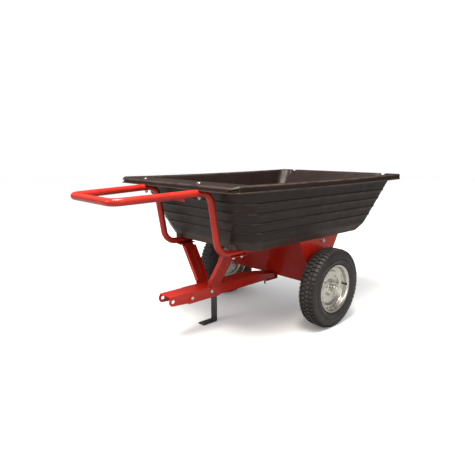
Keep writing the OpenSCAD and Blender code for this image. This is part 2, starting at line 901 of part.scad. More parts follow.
module tyre(s) {
    r = tread_r - block_high;
    pitch = 360 / block_count;
    color(tyre_rubber) at_wheel(s) difference() {
        union() {
            rotate_extrude() carcass_outline(0);
            difference() {
                rotate_extrude() polygon([[r - groove, -tread_half - lug_lean],
                    [tread_r - lug_fall, -tread_half], [tread_r, -tread_flat],
                    [tread_r, tread_flat], [tread_r - lug_fall, tread_half],
                    [r - groove, tread_half + lug_lean]]);
                for (i = [0:block_count - 1]) {
                    rotate([0, 0, i * pitch]) translate([r, -groove / 2, mid_groove / 2])
                        cube([2 * block_high, groove, half_w]);
                    rotate([0, 0, (i + 0.5) * pitch])
                        translate([r, -groove / 2, -half_w - mid_groove / 2])
                        cube([2 * block_high, groove, half_w]);
                }
                translate([0, 0, -mid_groove / 2]) ring(tread_r + over, r, mid_groove);
            }
        }
        rotate_extrude() difference() {
            carcass_outline(tyre_wall);
            translate([0, -half_w]) square([bead_seat + hole_slack / 2, tyre_w]);
        }
        translate([0, 0, -bead_open])
            cylinder(h = 2 * bead_open, r = bead_seat + bead_open_deep);
    }
}

module tyre_left() { tyre(-1); }

module tyre_right() { tyre(1); }

// one pressed half disc, its flat middle resting on the middle plane of the wheel;
// face is 1 for the outer half and -1 for the inner half
module disc_half(s, face) {
    t = disc_t;
    f = disc_d / 2;
    bore = hub_r + 2 * run_fit;
    low = 2 * run_fit;
    color(zinc) at_wheel(s) mirror([0, 0, face < 0 ? 1 : 0]) difference() {
        rotate_extrude() polygon([
            [bore, collar_z], [collar_r, collar_z - 1], [flat_in, low], [flat_out, low],
            [step_r, step_z - t], [bead_seat - t, step_z], [bead_seat, step_z],
            [bead_seat, well_z], [f - t, flange_z - 2 * t], [f, flange_z - t], [f, flange_z],
            [f - t, flange_z], [f - 2 * t, flange_z - t / 2], [bead_seat - t, well_z + t],
            [bead_seat - t, step_z + t], [step_r - t / 2, step_z], [flat_out - t / 2, t + low],
            [flat_in + t / 2, t + low], [collar_r + t / 2, collar_z + t / 2],
            [bore, collar_z + t]]);
        for (i = [0:disc_bolts - 1])
            rotate([0, 0, (i + 0.5) * 360 / disc_bolts]) translate([disc_bolt_r, 0, -over])
                cylinder(h = 4 * disc_t, d = disc_bolt_d + hole_slack);
        if (face > 0)
            translate([valve_at, 0, 0]) cylinder(h = valve_tip, r = valve_r + 1.2);
    }
}

module disc_outer_left() { disc_half(-1, 1); }

module disc_outer_right() { disc_half(1, 1); }

module disc_inner_left() { disc_half(-1, -1); }

module disc_inner_right() { disc_half(1, -1); }

module hub(s) {
    color(zinc) at_wheel(s) translate([0, 0, hub_in]) difference() {
        union() {
            cylinder(h = hub_out - hub_in, r = hub_r);
            cylinder(h = hub_rim, r = hub_r + hub_rim / 2);
            translate([0, 0, hub_out - hub_in - hub_rim])
                cylinder(h = hub_rim, r = hub_r + hub_rim / 2);
        }
        translate([0, 0, -over])
            cylinder(h = hub_out - hub_in + 2 * over, d = axle_d + 2 * run_fit);
    }
}

module hub_left() { hub(-1); }

module hub_right() { hub(1); }

module disc_bolt_set(s) {
    color(zinc) at_wheel(s) for (i = [0:disc_bolts - 1])
        rotate([0, 0, (i + 0.5) * 360 / disc_bolts]) translate([disc_bolt_r, 0, 0]) {
            translate([0, 0, disc_t + 2 * run_fit])
                hex_bolt(2 * disc_t + disc_bolt_d * nut_high + bolt_end / 2, disc_bolt_d);
            translate([0, 0, -disc_t - 2 * run_fit - disc_bolt_d * nut_high])
                hex_nut(disc_bolt_d);
        }
}

module disc_bolts_left() { disc_bolt_set(-1); }

module disc_bolts_right() { disc_bolt_set(1); }

module valve(s) {
    color(black_steel) at_wheel(s) translate([valve_at, 0, 0]) {
        translate([0, 0, valve_seat]) cylinder(h = valve_neck - valve_seat, r = valve_r);
        translate([0, 0, valve_neck - over])
            cylinder(h = valve_tip - valve_neck + over, r = valve_r - over);
    }
}

module valve_left() { valve(-1); }

module valve_right() { valve(1); }

tub();
rim_spacers();
rim_bolts();
rim_nuts();
floor_bolts();
floor_nuts();
floor_washers();
handle();
frame_tube_left();
frame_tube_right();
strut_left();
strut_right();
tongue();
tongue_bolts();
tongue_nuts();
cradle_plate();
cradle_side_left();
cradle_side_right();
cradle_bolts();
cradle_nuts();
cradle_washers();
cross_rod();
cross_rod_nuts();
axle();
axle_spacers();
axle_washers();
axle_caps();
clamp_bolt();
clamp_nut();
stand();
stand_bolt();
stand_nut();
tyre_left();
disc_outer_left();
disc_inner_left();
hub_left();
disc_bolts_left();
valve_left();
tyre_right();
disc_outer_right();
disc_inner_right();
hub_right();
disc_bolts_right();
valve_right();
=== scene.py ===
"""Looks of the garden cart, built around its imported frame. Metres, +Z up, wheels turn about Y."""

import json
import math

import bmesh
import bpy
from mathutils import Matrix, Vector


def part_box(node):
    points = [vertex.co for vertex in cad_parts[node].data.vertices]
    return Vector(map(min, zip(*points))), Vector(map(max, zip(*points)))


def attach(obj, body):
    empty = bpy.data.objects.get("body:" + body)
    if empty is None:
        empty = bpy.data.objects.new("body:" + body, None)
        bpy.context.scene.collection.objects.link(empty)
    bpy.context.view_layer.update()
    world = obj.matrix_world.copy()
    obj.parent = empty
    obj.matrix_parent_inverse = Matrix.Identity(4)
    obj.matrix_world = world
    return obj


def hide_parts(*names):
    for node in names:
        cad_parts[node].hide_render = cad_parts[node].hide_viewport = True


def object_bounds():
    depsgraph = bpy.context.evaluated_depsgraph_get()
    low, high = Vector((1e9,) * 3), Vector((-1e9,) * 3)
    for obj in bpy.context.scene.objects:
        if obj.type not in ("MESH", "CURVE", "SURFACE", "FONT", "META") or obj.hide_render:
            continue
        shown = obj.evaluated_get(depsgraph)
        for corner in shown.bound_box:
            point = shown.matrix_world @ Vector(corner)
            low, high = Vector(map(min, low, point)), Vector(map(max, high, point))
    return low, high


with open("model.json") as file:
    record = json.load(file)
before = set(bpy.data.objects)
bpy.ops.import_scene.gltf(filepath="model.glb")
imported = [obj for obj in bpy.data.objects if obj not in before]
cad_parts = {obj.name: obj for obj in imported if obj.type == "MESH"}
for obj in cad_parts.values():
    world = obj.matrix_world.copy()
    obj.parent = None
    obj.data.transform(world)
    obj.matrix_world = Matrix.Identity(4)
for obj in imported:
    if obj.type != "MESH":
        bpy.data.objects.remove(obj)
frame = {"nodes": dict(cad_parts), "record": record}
CAD_LOW, CAD_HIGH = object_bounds()
RECORD = frame["record"]
JOINTS = {j["name"]: j for j in RECORD["behaviour"]["joints"]}
AXLE_X, WHEEL_Y, AXLE_Z = Vector(JOINTS["wheel_right_spin"]["pos_m"])
SLOT_OF = {p["node"]: p["material_slot"] for p in RECORD["subparts"]}
BODY_OF = {n: b for b, ns in RECORD["behaviour"]["bodies"].items() for n in ns}
MM = 0.001


# ---------- materials ----------

FLOOR_BOUNCE_FADE = (0.446, 0.436)     # heights between which the tub's lowest band turns paler: painted light bounced up from the floor


def mapped(tree, value, low, high, a, b, kind="LINEAR"):
    """A value mapped from low..high to a..b."""
    node = tree.nodes.new("ShaderNodeMapRange")
    node.interpolation_type = kind
    for key, number in zip(("From Min", "From Max", "To Min", "To Max"), (low, high, a, b)):
        node.inputs[key].default_value = number
    tree.links.new(value, node.inputs["Value"])
    return node.outputs["Result"]


class Shader:
    """A node material with short names for the few nodes that the looks need."""

    def __init__(self, name):
        self.mat = bpy.data.materials.new(name)
        self.mat.use_nodes = True
        self.nodes = self.mat.node_tree.nodes
        self.links = self.mat.node_tree.links
        self.bsdf = self.nodes["Principled BSDF"]
        self.coords = self.nodes.new("ShaderNodeTexCoord").outputs["Object"]

    def link(self, out, sock):
        self.links.new(out, sock)

    def set(self, **values):
        for key, value in values.items():
            self.bsdf.inputs[key.replace("_", " ")].default_value = value

    def stretch(self, scale):
        node = self.nodes.new("ShaderNodeMapping")
        node.inputs["Scale"].default_value = scale
        self.link(self.coords, node.inputs["Vector"])
        return node.outputs["Vector"]

    def noise(self, scale, detail=4.0, rough=0.55, vector=None, distort=0.0):
        node = self.nodes.new("ShaderNodeTexNoise")
        node.inputs["Scale"].default_value = scale
        node.inputs["Detail"].default_value = detail
        node.inputs["Roughness"].default_value = rough
        node.inputs["Distortion"].default_value = distort
        self.link(vector or self.coords, node.inputs["Vector"])
        return node.outputs["Fac"]

    def cells(self, scale):
        node = self.nodes.new("ShaderNodeTexVoronoi")
        node.inputs["Scale"].default_value = scale
        self.link(self.coords, node.inputs["Vector"])
        return node.outputs["Distance"]

    def ramp(self, fac, low, high, a=0.0, b=1.0):
        return mapped(self.mat.node_tree, fac, low, high, a, b, "SMOOTHSTEP")

    def math(self, kind, a, b):
        node = self.nodes.new("ShaderNodeMath")
        node.operation = kind
        for sock, value in zip(node.inputs, (a, b)):
            if isinstance(value, (int, float)):
                sock.default_value = value
            else:
                self.link(value, sock)
        return node.outputs[0]

    def mix(self, fac, a, b):
        node = self.nodes.new("ShaderNodeMix")
        node.data_type = "RGBA"
        self.link(fac, node.inputs["Factor"])
        for key, value in (("A", a), ("B", b)):
            sock = [s for s in node.inputs if s.name == key and s.type == "RGBA"][0]
            if isinstance(value, tuple):
                sock.default_value = (*value, 1.0)
            else:
                self.link(value, sock)
        return [s for s in node.outputs if s.type == "RGBA"][0]

    def over(self, base, mask, share, colour):
        """The base with another colour laid over it where the mask is."""
        return self.mix(self.math("MULTIPLY", mask, share), base, colour)

    def edges(self, low, high):
        node = self.nodes.new("ShaderNodeNewGeometry")
        return self.ramp(node.outputs["Pointiness"], low, high)

    def height(self):
        node = self.nodes.new("ShaderNodeSeparateXYZ")
        self.link(self.coords, node.inputs[0])
        return node.outputs["Z"]

    def colour(self, out):
        self.link(out, self.bsdf.inputs["Base Color"])

    def rough(self, out):
        self.link(out, self.bsdf.inputs["Roughness"])

    def bump(self, layers):
        last = None
        for out, distance, strength in layers:
            node = self.nodes.new("ShaderNodeBump")
            node.inputs["Distance"].default_value = distance
            node.inputs["Strength"].default_value = strength
            self.link(out, node.inputs["Height"])
            if last:
                self.link(last, node.inputs["Normal"])
            last = node.outputs["Normal"]
        self.link(last, self.bsdf.inputs["Normal"])


def make_plastic():
    """Moulded polyethylene, brown black: scuffs; paler edges and rib lines, partly wear and partly
    painted highlight; a paler lowest strip near the floor, painted light bounced up from the floor.
    """
    s = Shader("poly_black")
    s.set(Specular_IOR_Level=0.30)
    tone = s.ramp(s.noise(3.1, 5.0), 0.3, 0.7)
    base = s.mix(tone, (0.0112, 0.0048, 0.0042), (0.0165, 0.0080, 0.0066))
    scuff = s.ramp(s.noise(55.0, 8.0, 0.7, s.stretch((1.0, 1.0, 7.0))), 0.60, 0.74)
    base = s.over(base, scuff, 0.26, (0.060, 0.047, 0.040))
    # Painted floor-bounce light: the lowest strip of the tub is made paler.
    floor_bounce_band = s.ramp(s.height(), *FLOOR_BOUNCE_FADE)
    base = s.over(base, floor_bounce_band, 0.6, (0.062, 0.040, 0.030))
    # Paler convex edges and rib lines: partly edge wear, partly a painted highlight where the ribs
    # catch the light.
    wear = s.math("MULTIPLY", s.edges(0.504, 0.545), s.ramp(s.noise(19.0), 0.2, 0.6))
    base = s.over(base, wear, 0.5, (0.115, 0.090, 0.072))
    s.colour(base)
    s.rough(s.ramp(s.noise(24.0, 6.0), 0.25, 0.75, 0.36, 0.50))
    s.bump([(s.cells(620.0), 0.0004, 0.22), (s.noise(38.0, 3.0), 0.002, 0.12)])
    return s.mat


def make_paint():
    """Red powder coat with a clear sheen, dust low down and a few chips on the edges."""
    s = Shader("paint_red")
    s.set(Specular_IOR_Level=0.25, Coat_Weight=0.45, Coat_Roughness=0.13, Coat_IOR=1.5)
    tone = s.ramp(s.noise(4.5, 4.0), 0.3, 0.7)
    base = s.mix(tone, (0.340, 0.0100, 0.0045), (0.430, 0.0160, 0.0060))
    dust = s.ramp(s.noise(15.0, 8.0, 0.7), 0.52, 0.75)
    low = s.ramp(s.height(), 0.0, 0.38, 0.30, 0.04)
    base = s.over(base, dust, low, (0.28, 0.055, 0.036))
    chip = s.math("MULTIPLY", s.edges(0.60, 0.68), s.ramp(s.noise(170.0, 3.0), 0.60, 0.66))
    base = s.over(base, chip, 0.8, (0.16, 0.13, 0.12))
    s.colour(base)
    s.rough(s.ramp(s.noise(40.0, 6.0), 0.25, 0.75, 0.27, 0.42))
    s.bump([(s.noise(330.0, 2.0), 0.0004, 0.16), (chip, -0.0003, 0.5)])
    return s.mat


def make_zinc():
    """Bright zinc plating, brushed, with a faint yellow bloom."""
    s = Shader("zinc")
    s.set(Metallic=1.0)
    tone = s.ramp(s.noise(26.0, 5.0, 0.6), 0.3, 0.7)
    base = s.mix(tone, (0.66, 0.645, 0.61), (0.82, 0.81, 0.79))
    bloom = s.ramp(s.noise(9.0, 3.0, distort=0.8), 0.5, 0.72)
    base = s.over(base, bloom, 0.35, (0.66, 0.60, 0.46))
    s.colour(base)
    fine = s.noise(420.0, 4.0, 0.6, s.stretch((1.0, 0.25, 1.0)))
    s.rough(s.ramp(fine, 0.25, 0.75, 0.17, 0.34))
    s.bump([(fine, 0.0002, 0.14), (s.noise(33.0), 0.001, 0.08)])
    return s.mat


def make_disc_metal():
    """Calmer zinc of the pressed wheel discs."""
    s = Shader("disc_zinc")
    s.set(Metallic=1.0)
    tone = s.ramp(s.noise(18.0, 5.0, 0.6), 0.3, 0.7)
    base = s.mix(tone, (0.62, 0.60, 0.555), (0.68, 0.66, 0.615))
    bloom = s.ramp(s.noise(7.0, 4.0, distort=1.2), 0.5, 0.75)
    base = s.over(base, bloom, 0.12, (0.56, 0.49, 0.37))
    s.colour(base)
    s.rough(s.ramp(s.noise(60.0, 5.0), 0.25, 0.75, 0.25, 0.34))
    s.bump([(s.noise(240.0, 3.0), 0.0002, 0.05), (s.noise(14.0, 2.0), 0.0015, 0.015)])
    return s.mat


def make_black_steel():
    """Black painted bar, worn grey on its edges."""
    s = Shader("black_steel")
    s.set(Specular_IOR_Level=0.5, Coat_Weight=0.25, Coat_Roughness=0.3)
    tone = s.ramp(s.noise(12.0, 5.0), 0.3, 0.7)
    base = s.mix(tone, (0.011, 0.0105, 0.010), (0.024, 0.022, 0.021))
    wear = s.math("MULTIPLY", s.edges(0.53, 0.60), s.ramp(s.noise(90.0), 0.45, 0.6))
    base = s.over(base, wear, 0.6, (0.17, 0.16, 0.15))
    s.colour(base)
    s.rough(s.ramp(s.noise(70.0, 5.0), 0.25, 0.75, 0.34, 0.55))
    s.bump([(s.noise(300.0, 3.0), 0.0004, 0.25)])
    return s.mat


def make_rubber():
    """Tyre rubber with dust and paler block edges."""
    s = Shader("tyre_rubber")
    s.set(Specular_IOR_Level=0.48)
    tone = s.ramp(s.noise(14.0, 6.0), 0.3, 0.7)
    base = s.mix(tone, (0.0165, 0.0125, 0.0125), (0.0270, 0.0205, 0.0200))
    dust = s.ramp(s.noise(36.0, 8.0, 0.7), 0.52, 0.76)
    base = s.over(base, dust, 0.22, (0.100, 0.085, 0.073))
    wear = s.edges(0.52, 0.60)
    base = s.over(base, wear, 0.28, (0.095, 0.086, 0.078))
    s.colour(base)
    s.rough(s.ramp(s.noise(50.0, 6.0), 0.25, 0.75, 0.38, 0.56))
    s.bump([(s.noise(520.0, 3.0), 0.0004, 0.3), (s.noise(60.0, 3.0), 0.001, 0.10)])
    return s.mat


def make_label():
    """Plain red film of the sticker."""
    s = Shader("label_red")
    s.set(Specular_IOR_Level=0.5)
    tone = s.ramp(s.noise(30.0, 4.0), 0.3, 0.7)
    s.colour(s.mix(tone, (0.40, 0.008, 0.008), (0.48, 0.014, 0.012)))
    s.rough(s.ramp(s.noise(60.0), 0.3, 0.7, 0.3, 0.45))
    s.bump([(s.noise(140.0, 2.0), 0.0003, 0.12)])
    return s.mat


PLASTIC = make_plastic()
PAINT = make_paint()
ZINC = make_zinc()
DISC_METAL = make_disc_metal()
BLACK_STEEL = make_black_steel()
RUBBER = make_rubber()
LABEL = make_label()
FINISH = {"poly_black": PLASTIC, "paint_red": PAINT, "zinc": ZINC, "black_steel": BLACK_STEEL,
          "tyre": RUBBER}


# ---------- mesh helpers ----------

WELD = 1e-6          # points closer than this are one point
BLEND_LIMIT = 50.0   # degrees between faces whose shading may blend


def piece(name, verts, faces, mat, node, sharp):
    """Closed forms that stand for a CAD node, in its finish and on its body."""
    mesh = bpy.data.meshes.new(name)
    mesh.from_pydata([tuple(v) for v in verts], [], [tuple(f) for f in faces])
    return settle(name, mesh, mat, node, sharp)


def even_normals(mesh, wide, limit):
    """Flat shading on wide faces; narrow edge faces blend into the widest face they touch."""
    mesh.update()
    faces = mesh.polygons
    area = [f.area for f in faces]
    normal = [f.normal.copy() for f in faces]
    spread = []
    for f in faces:
        loop = [mesh.vertices[i].co for i in f.vertices]
        rim = sum((a - b).length for a, b in zip(loop, loop[1:] + loop[:1]))
        spread.append(2 * f.area / rim if rim else 0.0)
    around = [[] for _ in mesh.vertices]
    for f in faces:
        for v in f.vertices:
            around[v].append(f.index)
    near = math.cos(math.radians(limit))
    result = [None] * len(mesh.loops)
    for f in faces:
        for k in f.loop_indices:
            total = normal[f.index]
            if spread[f.index] < wide:
                total = Vector((0, 0, 0))
                for g in around[mesh.loops[k].vertex_index]:
                    if normal[g].dot(normal[f.index]) > near:
                        total += normal[g] * area[g] * area[g]
            result[k] = total.normalized() if total.length > 0 else normal[f.index]
    mesh.normals_split_custom_set([tuple(v) for v in result])


def settle(name, mesh, mat, node, sharp, wide=0.0):
    """Cleans a mesh, shades it, and puts it on the node's body in place of the node."""
    bm = bmesh.new()
    bm.from_mesh(mesh)
    bmesh.ops.remove_doubles(bm, verts=bm.verts, dist=WELD)
    bmesh.ops.recalc_face_normals(bm, faces=bm.faces)
    for f in bm.faces:
        f.smooth = True
    bm.to_mesh(mesh)
    bm.free()
    mesh.set_sharp_from_angle(angle=math.radians(sharp))
    mesh.materials.clear()
    mesh.materials.append(mat)
    obj = bpy.data.objects.new(name, mesh)
    bpy.context.scene.collection.objects.link(obj)
    if wide:
        even_normals(mesh, wide, BLEND_LIMIT)
    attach(obj, BODY_OF[node])
    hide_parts(node)
    return obj


class Shape:
    """Vertices and faces gathered from several closed forms."""

    def __init__(self):
        self.verts, self.faces = [], []

    def add(self, verts, faces, place=None):
        base = len(self.verts)
        self.verts += [place @ Vector(v) if place else Vector(v) for v in verts]
        self.faces += [tuple(base + i for i in f) for f in faces]

    def rings(self, rings, place=None, closed=False):
        """Joins rings of equal length; closed joins the last to the first, else the ends are filled."""
        n = len(rings[0])
        verts = [p for ring in rings for p in ring]
        faces = []
        count = len(rings)
        for k in range(count if closed else count - 1):
            a, b = k * n, ((k + 1) % count) * n
            for i in range(n):
                j = (i + 1) % n
                faces.append((a + i, a + j, b + j, b + i))
        if not closed:
            faces.append(tuple(reversed(range(n))))
            faces.append(tuple(range((count - 1) * n, count * n)))
        self.add(verts, faces, place)

    def lathe(self, profile, segs, place, closed=True):
        """Turns (radius, height) points round +Z; a closed profile makes a ring."""
        rings = []
        for r, z in profile:
            rings.append([(r * math.cos(2 * math.pi * i / segs),
                           r * math.sin(2 * math.pi * i / segs), z) for i in range(segs)])
        self.rings(rings, place, closed)


def rounded(points, radii, steps=5, closed=True):
    """A 2-D outline with its corners rounded; radii is one number or one for each point."""
    n = len(points)
    if isinstance(radii, (int, float)):
        radii = [radii] * n
    out = []
    for i, p in enumerate(points):
        p = Vector(p)
        if not closed and i in (0, n - 1):
            out.append(p)
            continue
        a, b = Vector(points[i - 1]), Vector(points[(i + 1) % n])
        da, db = (a - p), (b - p)
        la, lb = da.length, db.length
        da.normalize()
        db.normalize()
        half = math.acos(max(-1.0, min(1.0, da.dot(db)))) / 2
        if radii[i] <= 0 or abs(half - math.pi / 2) < 0.01:
            out.append(p)
            continue
        back = min(radii[i] / math.tan(half), la * 0.49, lb * 0.49)
        r = back * math.tan(half)
        centre = p + (da + db).normalized() * (r / math.sin(half))
        v0, v1 = p + da * back - centre, p + db * back - centre
        turn = v0.angle_signed(v1) if v0.length > 0 else 0
        for k in range(steps + 1):
            t = -turn * k / steps
            c, s = math.cos(t), math.sin(t)
            out.append(centre + Vector((v0.x * c - v0.y * s, v0.x * s + v0.y * c)))
    return out


def smoothstep(t):
    t = max(0.0, min(1.0, t))
    return t * t * (3 - 2 * t)


def fade(value, low, high):
    """0 at low, 1 at high, smooth between."""
    return smoothstep((value - low) / (high - low))


def along_axis(at, axis):
    """Placement that turns local +Z to axis and moves the origin to at."""
    return Matrix.Translation(at) @ Vector(axis).to_track_quat("Z", "Y").to_matrix().to_4x4()


# ---------- tub ----------

# The tub is drawn in millimetres from the axle's line, then placed.
TUB_LOW, TUB_HIGH = ((corner - Vector((AXLE_X, 0, 0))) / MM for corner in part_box("tub"))
FRONT, REAR, HALF = round(TUB_LOW.x, 3), round(TUB_HIGH.x, 3), round(TUB_HIGH.y, 3)
FLOOR_Z, RIM_TOP = round(TUB_LOW.z, 3), round(TUB_HIGH.z, 3)
SKIN, LIP_DROP = 4.0, 27.0
LIP_FOOT = RIM_TOP - LIP_DROP
BAND_TOP = 440.0
TUBE_Y = sum(corner.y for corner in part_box("frame_tube_right")) / 2
RIM_BOLT_X = sum(corner.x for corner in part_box("rim_bolts")) / 2
BOLT_HEAD_R = 0.0088
FLOOR_BOLT_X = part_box("floor_bolts")[0].x + BOLT_HEAD_R

# Wall planes: direction faced, then distance from the axle's line at each height of WALL_Z.
WALL_Z = (FLOOR_Z, BAND_TOP, RIM_TOP)
WALLS = [(0.0, 294, 345, 506), (44.0, 405, 450.5, 596), (91.0, 287, 308, 365),
         (155.6, 485.5, 507.6, 636), (180.0, 455, 472, 550), (204.4, 485.5, 507.6, 636),
         (269.0, 287, 308, 365), (316.0, 405, 450.5, 596)]
FRONT_WALL = WALLS[4]
WALL_BEND, RIM_BEND = 36.0, 44.0

# Stations along a straight stretch, close together where the corners' details are.
END_STEPS = [0.0, 0.006, 0.014, 0.03, 0.06, 0.085, 0.1, 0.106, 0.112, 0.118, 0.124, 0.13,
             0.136, 0.142, 0.15, 0.17, 0.2, 0.3, 0.4, 0.5]
STRAIGHT = END_STEPS + [1 - t for t in reversed(END_STEPS[:-1])]
ARC = 8
RIM_ARC = 2 * ARC + len(STRAIGHT) - 1

# The outside's rows as (height, outward, corner bend): floor edge and band, then below the rim.
BOTTOM = ((FLOOR_Z, -12.0, 30.0), (FLOOR_Z, -5.0, 30.0), (FLOOR_Z + 1.2, -1.6, 30.0),
          (FLOOR_Z + 4.5, 0.0, 30.0), (415.0, 0.0, 32.0), (427.0, 0.0, 32.0),
          (435.0, 0.0, 32.0), (438.6, 0.0, 34.0), (BAND_TOP, -0.5, 34.0), (441.6, 0.0, 34.0),
          (450.0, 0.0, WALL_BEND))
FLARE = ((630.0, 0.0, RIM_BEND), (645.0, 0.0, RIM_BEND), (652.0, 0.4, RIM_BEND),
         (660.0, 2.0, RIM_BEND), (668.0, 5.0, RIM_BEND), (673.5, 9.0, RIM_BEND))

# A rib's section as (height from its middle, share of its full depth).
RIB_Z = [480.0, 520.0, 560.0, 600.0]
RIB_PROUD = 2.6
RIB = ((-14, 0), (-2.2, 0.0), (-1.4, 0.25), (-0.4, 0.70), (1.0, 0.95), (2.6, 1.0), (4.2, 0.92),
       (5.8, 0.66), (7.2, 0.30), (8.4, 0.06), (9.4, 0.0), (13.0, 0.0))

# The lip's section as (outward of the rim's edge, height), from under the rim to its top.
RIM_FLAT = 8.0
LIP = ((-SKIN - 3.0, RIM_TOP - SKIN), (-SKIN - 0.8, RIM_TOP - SKIN - 1.2),
       (-SKIN, RIM_TOP - SKIN - 4.0), (-SKIN, LIP_FOOT + 6.0), (-SKIN, LIP_FOOT + 0.8),
       (-SKIN + 0.9, LIP_FOOT), (-0.9, LIP_FOOT), (0.0, LIP_FOOT + 0.9), (0.0, LIP_FOOT + 4.2),
       (-0.7, LIP_FOOT + 5.4), (-2.2, LIP_FOOT + 6.0), (-2.5, LIP_FOOT + 7.0),
       (-2.3, RIM_TOP - 9.0), (-2.4, RIM_TOP - 5.6), (-3.1, RIM_TOP - 2.6),
       (-5.0, RIM_TOP - 0.6), (-RIM_FLAT, RIM_TOP))

# The inside as (height, inward of the wall's outer face), from the rim down to the floor.
INSIDE = ((679.3, 1.5), (677.0, 3.2), (673.0, SKIN), (660.0, SKIN), (645.0, SKIN),
          (620.0, SKIN), (590.0, SKIN), (550.0, SKIN), (500.0, SKIN), (460.0, SKIN),
          (444.0, SKIN), (438.0, SKIN + 0.6), (430.0, SKIN), (418.0, SKIN),
          (411.0, SKIN + 2.0), (408.6, SKIN + 6.0), (408.0, SKIN + 12.0))

FRONT_R, REAR_R = 34.0, 10.0                        # the rim's corners
POCKET_Y, POCKET_W, POCKET_D = 369.0, 31.0, 9.0     # slots in the lip at the front corners
NOTCH_Y, NOTCH_W, NOTCH_D = 297.0, 27.0, 11.0       # notches across the rear rim
NOTCH_BACK, NOTCH_EDGE = 60.0, 6.0                  # their length and the slope of their sides
SHOULDER, SHOULDER_DROP = 26.0, 8.0                 # the front rim's slope
SAG, SAG_Y, SAG_Z = 4.5, (330.0, 360.0), (600.0, 660.0)     # the long sides' dip fades in


def wall_distance(wall, z):
    low = 0 if z < BAND_TOP else 1
    t = (z - WALL_Z[low]) / (WALL_Z[low + 1] - WALL_Z[low])
    return wall[low + 1] + (wall[low + 2] - wall[low + 1]) * t


def crossing(a0, d0, a1, d1):
    """The point where two lines meet, each given by its direction and distance."""
    a0, a1 = math.radians(a0), math.radians(a1)
    det = math.sin(a1 - a0)
    return Vector(((d0 * math.sin(a1) - d1 * math.sin(a0)) / det,
                   (d1 * math.cos(a0) - d0 * math.cos(a1)) / det))


def joined(arcs, z):
    """The corner arcs in turn, each followed by the stations of the straight after it."""
    ring = []
    for i, arc in enumerate(arcs):
        start = arcs[(i + 1) % len(arcs)][0]
        ring += arc + [arc[-1].lerp(start, t) for t in STRAIGHT[1:-1]]
    return [Vector((p.x, p.y, z)) for p in ring]


def tub_ring(z, grow, bend):
    """Points round the tub's walls at height z, moved outward by grow."""
    corners = []
    for i, wall in enumerate(WALLS):
        after = WALLS[(i + 1) % len(WALLS)]
        corners.append(crossing(wall[0], wall_distance(wall, z) + grow,
                                after[0], wall_distance(after, z) + grow))
    arcs = []
    count = len(corners)
    for i, p in enumerate(corners):
        turn = math.radians((WALLS[(i + 1) % count][0] - WALLS[i][0]) % 360)
        room = min((p - corners[i - 1]).length, (p - corners[(i + 1) % count]).length) * 0.45
        back = min(bend * math.tan(turn / 2), room)
        r = back / math.tan(turn / 2)
        a = math.radians(WALLS[i][0])
        centre = p - Vector((math.cos(a), math.sin(a))) * r \
            + Vector((math.sin(a), -math.cos(a))) * back
        arcs.append([centre + r * Vector((math.cos(a + turn * k / ARC),
                                          math.sin(a + turn * k / ARC)))
                     for k in range(ARC + 1)])
    return joined(arcs, z)


def rim_ring(grow, z):
    """The same count of points round the rim's rounded rectangle, in step with tub_ring."""
    arcs = []
    for i, (x, y, r) in enumerate(((REAR, HALF, REAR_R), (FRONT, HALF, FRONT_R),
                                   (FRONT, -HALF, FRONT_R), (REAR, -HALF, REAR_R))):
        centre = Vector((x - math.copysign(r, x), y - math.copysign(r, y)))
        turns = [math.radians(90 * (i + k / RIM_ARC)) for k in range(RIM_ARC + 1)]
        arcs.append([centre + (r + grow) * Vector((math.cos(a), math.sin(a))) for a in turns])
    return joined(arcs, z)


def shape_rim(p):
    """Front shoulder, corner slots, rear notches and the slow sag of the long sides."""
    q = p.copy()
    if p.z < LIP_FOOT - 1:
        return q
    high = smoothstep((p.z - LIP_FOOT) / (LIP_DROP * 0.55))
    if p.x < FRONT + SHOULDER:
        q.z -= SHOULDER_DROP * (FRONT + SHOULDER - p.x) / SHOULDER * high
    inside = (POCKET_W / 2 - abs(abs(p.y) - POCKET_Y)) / 2.0
    if inside > -0.5 and p.x < FRONT + FRONT_R:
        below_top = smoothstep((RIM_TOP - 6.0 - p.z) / 2.0)
        above_bead = smoothstep((p.z - LIP_FOOT - 5.0) / 2.0)
        off = Vector((p.x - FRONT - FRONT_R, max(0.0, abs(p.y) - HALF + FRONT_R)))
        off.y = math.copysign(off.y, p.y)
        off = off.normalized() * POCKET_D * smoothstep(inside + 0.5) * below_top * above_bead
        q.x -= off.x
        q.y -= off.y
    if p.x > REAR - NOTCH_BACK:
        gap = (NOTCH_W / 2 - abs(abs(p.y) - NOTCH_Y)) / NOTCH_EDGE
        q.z -= NOTCH_D * smoothstep(gap + 0.5) * high
    if abs(p.y) > SAG_Y[0]:
        mid = (p.x - (FRONT + REAR) / 2) / ((REAR - FRONT) / 2)
        q.z -= SAG * max(0.0, 1 - mid * mid) * fade(abs(p.y), *SAG_Y) * fade(p.z, *SAG_Z)
    return q


